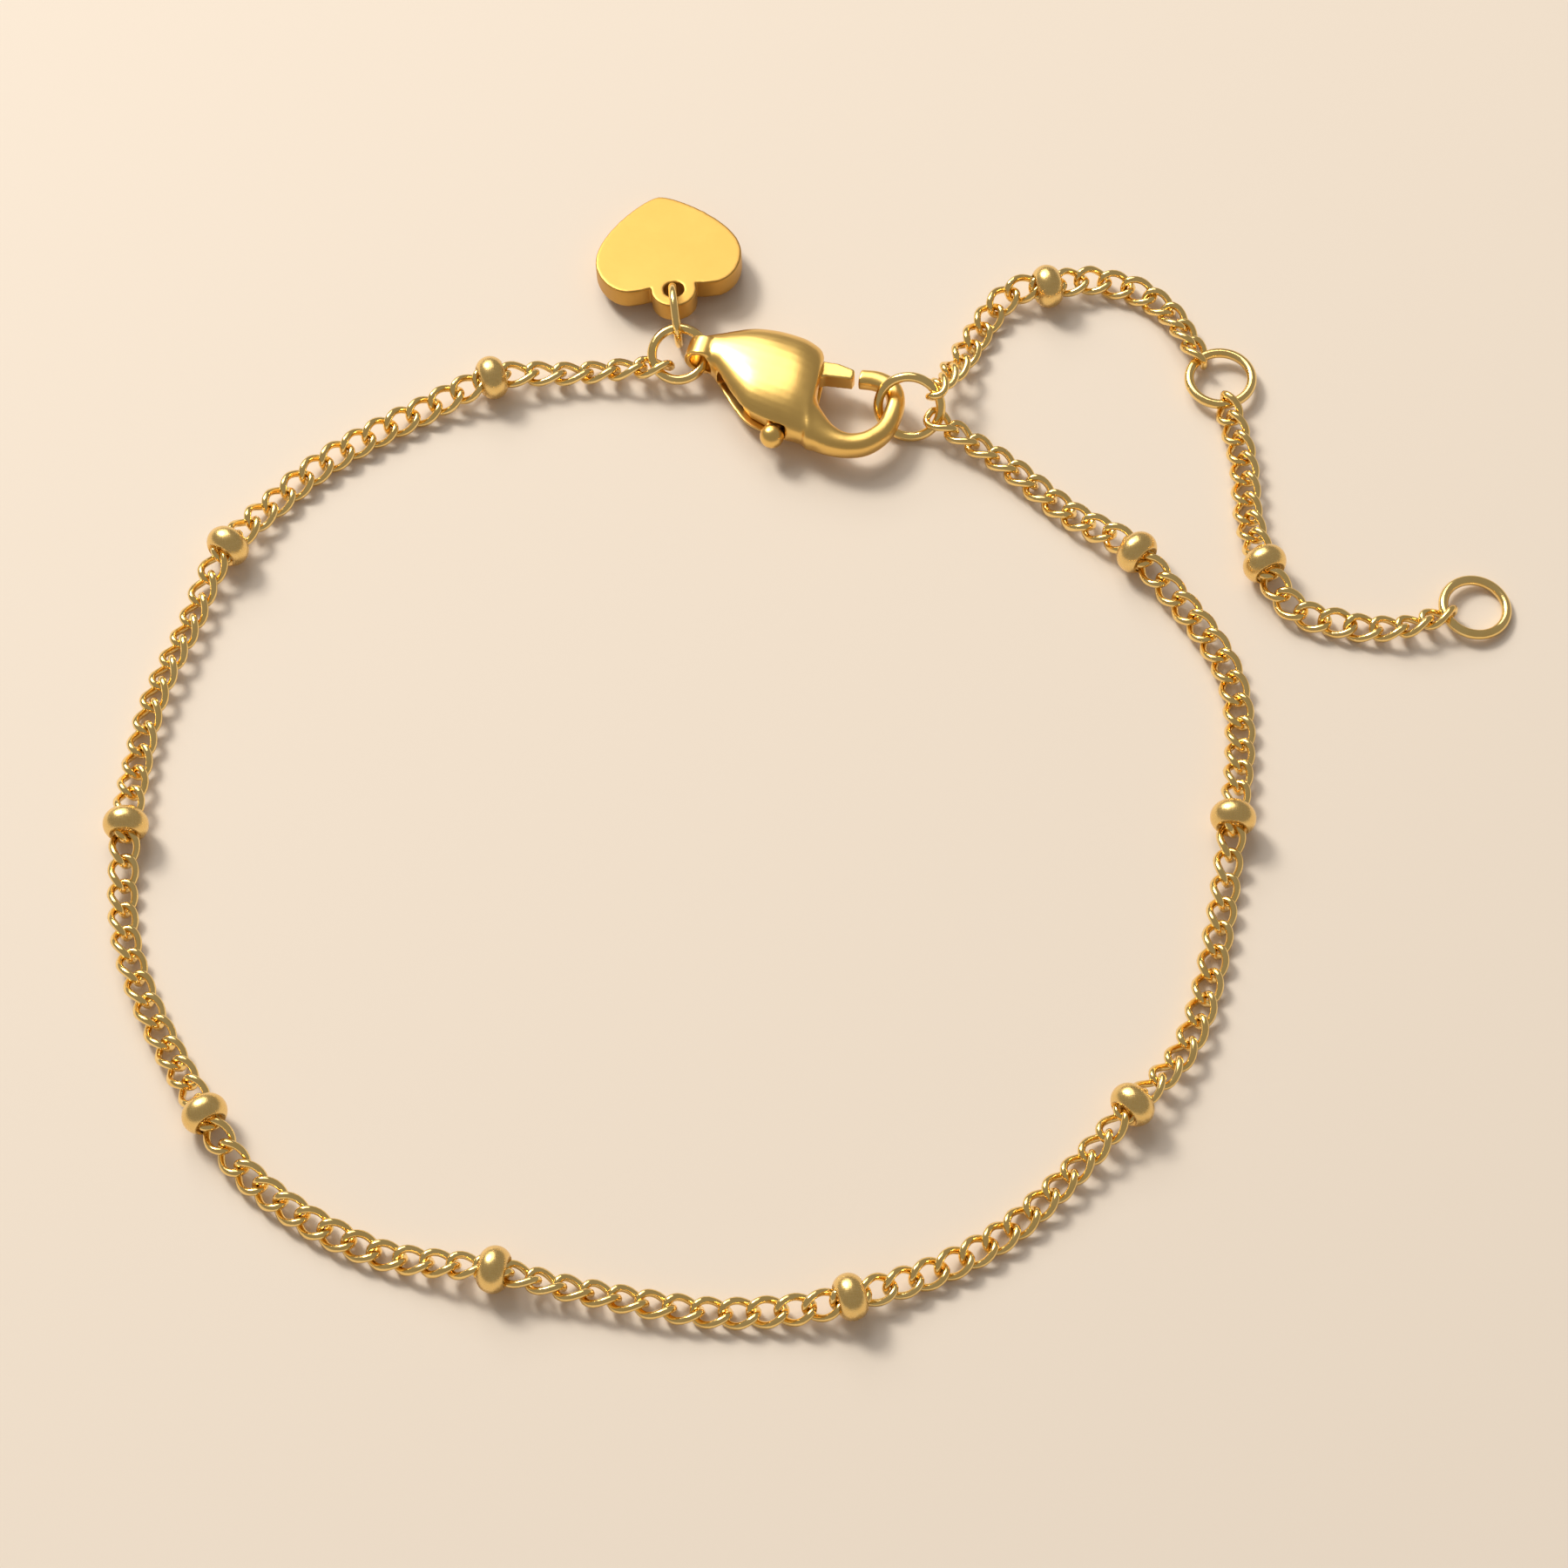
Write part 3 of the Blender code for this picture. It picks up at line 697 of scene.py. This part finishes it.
# x, y, heading in degrees, half width, half height
CLASP_SECTIONS = (
    (-0.1, 0.12, 0, 0.82, 0.74),
    (0.6, 0.14, 0, 1.06, 0.88),
    (1.2, -0.02, 0, 1.5, 1.05),
    (2.0, -0.28, 0, 2.1, 1.22),
    (2.9, -0.58, 0, 2.56, 1.35),
    (3.9, -0.74, 0, 2.72, 1.40),
    (5.0, -0.92, 0, 2.7, 1.38),
    (5.85, -1.3, 0, 2.4, 1.2),
    (6.15, -2.6, 0, 1.3, 1.0),
    (6.6, -3.0, -5, 0.92, 0.85),
    (7.3, -3.35, -8, 0.68, 0.7),
    (8.2, -3.4, 5, 0.56, 0.62),
    (9.05, -3.02, 24, 0.55, 0.6),
    (9.65, -2.2, 52, 0.5, 0.55),
    (9.82, -1.3, 78, 0.47, 0.5),
    (9.78, -0.4, 98, 0.46, 0.5),
    (9.4, 0.32, 142, 0.47, 0.48),
    (8.6, 0.6, 174, 0.48, 0.46),
    (7.72, 0.5, 184, 0.46, 0.44),
)
CLASP_SQUARE = 0.8
SLOT_OUTLINE = (
    (5.05, -4.6), (5.05, -1.9), (6.3, -1.6), (7.4, -1.5), (7.4, 1.7), (5.2, 1.7), (5.0, 0.95),
    (3.5, 0.95), (2.9, 0.5), (1.5, -0.7), (1.0, -1.2), (1.0, -4.6),
)
SLOT = 1.1
PIVOT = Vector((4.4, -0.3, 0))
PIVOT_RADIUS = 0.35
EYE_RADIUS = 0.88
EYE_BORE = 0.58
EYE_LENGTH = 1.1
SECTION_STEPS = 4
OVAL_SIDES = 40
CLASP_VOXEL = 0.045
CLASP_ROUNDS = 10


def between_rows(rows, steps):
    """Rows of numbers with smooth in-between rows, by the chain route's own curve."""
    rows = [np.array(row, dtype=float) for row in rows]
    ends = [2 * rows[0] - rows[1], *rows, 2 * rows[-1] - rows[-2]]
    filled = []
    for before, start, end, after in zip(ends, ends[1:], ends[2:], ends[3:]):
        for t in np.arange(steps) / steps:
            bend = 2 * before - 5 * start + 4 * end - after
            turn = 3 * start - before - 3 * end + after
            filled.append(start + 0.5 * (t * (end - before) + t * t * bend + t ** 3 * turn))
    return filled + [rows[-1]]


def lofted(sections, sides):
    """Ovals square to their headings, bridged one to the next, with flat ends."""
    made = bmesh.new()
    loops = []
    for x, y, heading, half_width, half_height in sections:
        turn = Matrix.Rotation(math.radians(heading), 4, "Z")
        size = Matrix.Diagonal((half_height, half_width, 1, 1))
        across = Matrix.Rotation(math.pi / 2, 4, "Y") @ size
        oval = bmesh.ops.create_circle(made, segments=sides, radius=1.0)
        for vertex in oval["verts"]:
            vertex.co = [math.copysign(abs(value) ** CLASP_SQUARE, value) for value in vertex.co]
        bmesh.ops.transform(
            made, matrix=Matrix.Translation((x, y, 0)) @ turn @ across, verts=oval["verts"])
        loops.append(list({edge for vertex in oval["verts"] for edge in vertex.link_edges}))
    for loop, following in zip(loops, loops[1:]):
        bmesh.ops.bridge_loops(made, edges=loop + following)
    bmesh.ops.holes_fill(made, edges=[edge for edge in made.edges if edge.is_boundary])
    bmesh.ops.recalc_face_normals(made, faces=made.faces)
    return made


# %% The clasp's body
EYE_TURN = Matrix.Rotation(math.pi / 2, 4, "X")
body = cast(
    "clasp_body_skin", lofted(between_rows(CLASP_SECTIONS, SECTION_STEPS), OVAL_SIDES),
    (("UNION", rod(EYE_RADIUS, EYE_LENGTH, (0, 0, 0), EYE_TURN)),
     ("DIFFERENCE", rod(EYE_BORE, 4 * EYE_LENGTH, (0, 0, 0), EYE_TURN)),
     ("DIFFERENCE", slab(SLOT_OUTLINE, SLOT)),
     ("UNION", rod(PIVOT_RADIUS, 1.5 * SLOT, PIVOT))),
    CLASP_VOXEL, CLASP_ROUNDS)
body.transform(CLASP_FRAME)
finished("cast_clasp_body", body, POLISHED, "polished_gold", "clasp_body")

# %% [markdown]
# ## The clasp's lever
#
# The lever is stamped from plate and carries a round knob for the thumb. It turns on the body's
# post, so it rides on its own body and stays clear of the slot's walls.

# %% The lever
LEVER_OUTLINE = (
    (7.5, 0.4), (7.42, 0.7), (6.6, 0.86), (5.4, 0.78), (4.4, 0.55), (3.8, 0.25),
    (3.2, -0.7), (2.6, -2.3), (3.1, -2.75), (4.1, -3.1), (4.15, -3.6), (4.85, -3.6),
    (4.95, -1.7), (5.25, -0.75), (6.1, -0.05), (7.44, 0.12),
)
LEVER = 0.94
PIVOT_GAP = 0.08
KNOB_PLACE = Vector((4.5, -3.8, 0))
KNOB_RADIUS = 0.6
LEVER_VOXEL = 0.04

knob = bmesh.new()
bmesh.ops.create_uvsphere(
    knob, u_segments=32, v_segments=20, radius=KNOB_RADIUS, matrix=Matrix.Translation(KNOB_PLACE))
lever = cast(
    "clasp_lever_skin", slab(LEVER_OUTLINE, LEVER),
    (("UNION", knob),
     ("DIFFERENCE", rod(PIVOT_RADIUS + PIVOT_GAP, 2 * LEVER, PIVOT))),
    LEVER_VOXEL, CLASP_ROUNDS)
lever.transform(CLASP_FRAME)
finished("cast_clasp_lever", lever, POLISHED, "polished_gold", "clasp_lever", body="lever")

# %% [markdown]
# ## The heart tag
#
# The heart is cut from thick plate. Half of its outline is a few Bezier points, mirrored for the
# other half, because a heart drawn whole is never quite even. A flat curve fills it, and a bored
# lug is set into its cleft.

# %% The heart
HEART_PLACE = Vector((-6.74, 30.54, 0))
HEART_TURN = math.radians(6)
HEART_TILT = math.radians(-6.7)
HEART_THICK = 1.1
HEART_HALF = 3.62
HEART_LENGTH = 6.2
HEART_WIDEST = -4.1
LOBE = 2.0
CLEFT = -5.5
TIP_EASE = 0.75
SIDE_EASE = 1.9
LOBE_EASE = 1.0
CLEFT_EASE = 0.3
LUG_PLACE = -6.35
LUG_RADIUS = 1.12
LUG_BORE = 0.5
HEART_VOXEL = 0.05
HEART_ROUNDS = 10


def heart_plate():
    """The heart about z = 0, its tip at the origin."""
    length = -HEART_LENGTH
    tip = ((0, 0), (-TIP_EASE, 0), (TIP_EASE, 0))
    right = (
        ((HEART_HALF, HEART_WIDEST), (HEART_HALF, HEART_WIDEST + SIDE_EASE),
         (HEART_HALF, HEART_WIDEST - LOBE_EASE)),
        ((LOBE, length), (LOBE + LOBE_EASE, length), (LOBE - LOBE_EASE, length)),
    )
    cleft = ((0, CLEFT), (CLEFT_EASE, CLEFT - CLEFT_EASE), (-CLEFT_EASE, CLEFT - CLEFT_EASE))
    left = [[(-x, y) for x, y in (place, after, before)] for place, before, after in right[::-1]]
    outline = [tip, *right, cleft, *left]
    curve = bpy.data.curves.new("heart_outline", "CURVE")
    curve.dimensions = "2D"
    curve.fill_mode = "BOTH"
    curve.extrude = HEART_THICK / 2
    curve.resolution_u = 16
    spline = curve.splines.new("BEZIER")
    spline.bezier_points.add(len(outline) - 1)
    for point, (place, before, after) in zip(spline.bezier_points, outline):
        point.co = (*place, 0)
        point.handle_left = (*before, 0)
        point.handle_right = (*after, 0)
    spline.use_cyclic_u = True
    drawn = bpy.data.objects.new("heart_outline", curve)
    bpy.context.scene.collection.objects.link(drawn)
    bpy.context.view_layer.update()
    mesh = bpy.data.meshes.new_from_object(
        drawn.evaluated_get(bpy.context.evaluated_depsgraph_get()))
    bpy.data.objects.remove(drawn)
    plate = bmesh.new()
    plate.from_mesh(mesh)
    bmesh.ops.remove_doubles(plate, verts=plate.verts, dist=0.001)
    bmesh.ops.recalc_face_normals(plate, faces=plate.faces)
    return plate


lug_place = (0, LUG_PLACE, 0)
heart = cast(
    "heart_skin", heart_plate(),
    (("UNION", rod(LUG_RADIUS, HEART_THICK, lug_place)),
     ("DIFFERENCE", rod(LUG_BORE, 2 * HEART_THICK, lug_place))),
    HEART_VOXEL, HEART_ROUNDS)
lay_flat = Matrix.Rotation(HEART_TURN, 4, "Z") @ Matrix.Rotation(HEART_TILT, 4, "X")
heart.transform(
    Matrix.Translation(HEART_PLACE) @ lay_flat @ Matrix.Translation((0, 0, HEART_THICK / 2)))
finished("cast_heart", heart, SATIN, "satin_gold", "heart_tag")

# %% [markdown]
# ## Table and light
#
# Polished metal shows its surroundings more than itself. A broad soft window behind and to the
# left gives the wide bright band along the clasp, a small bright lamp gives each link its
# sparkle and its shadow, and the dim room keeps the sides that face the camera brown.

# %% The table
TABLE_HALF = 0.6
TABLE_DROP = 0.002 * MM
table = bmesh.new()
bmesh.ops.create_grid(table, x_segments=1, y_segments=1, size=TABLE_HALF)
bmesh.ops.translate(table, verts=table.verts, vec=(0, 0, -TABLE_DROP))
table_top = new_object("table_top", table)
stone = bpy.data.materials.new("pale_table")
stone.use_nodes = True
stone_shader = stone.node_tree.nodes["Principled BSDF"]
stone_shader.inputs["Base Color"].default_value = (0.84, 0.745, 0.64, 1.0)
stone_shader.inputs["Roughness"].default_value = 0.7
table_top.data.materials.append(stone)


# %% The lights
def soft_lamp(name, place, size, power, colour):
    """A square lamp that faces the bracelet."""
    lamp = bpy.data.lights.new(name, "AREA")
    lamp.size = size
    lamp.energy = power
    lamp.color = colour
    made = bpy.data.objects.new(name, lamp)
    made.location = place
    made.rotation_euler = (-Vector(place)).to_track_quat("-Z", "Y").to_euler()
    bpy.context.scene.collection.objects.link(made)


soft_lamp("window", (-0.25, 0.55, 0.62), 0.7, 3.9, (1.0, 0.965, 0.92))
soft_lamp("lamp", (-0.32, 0.40, 0.50), 0.17, 3.0, (1.0, 0.95, 0.86))
room = bpy.data.worlds.new("room")
room.use_nodes = True
walls = room.node_tree.nodes["Background"]
walls.inputs["Color"].default_value = (1.0, 0.93, 0.86, 1.0)
walls.inputs["Strength"].default_value = 0.30
bpy.context.scene.world = room
bpy.context.scene.view_settings.view_transform = "Standard"
print("lights:", sorted(lamp.name for lamp in bpy.data.lights))
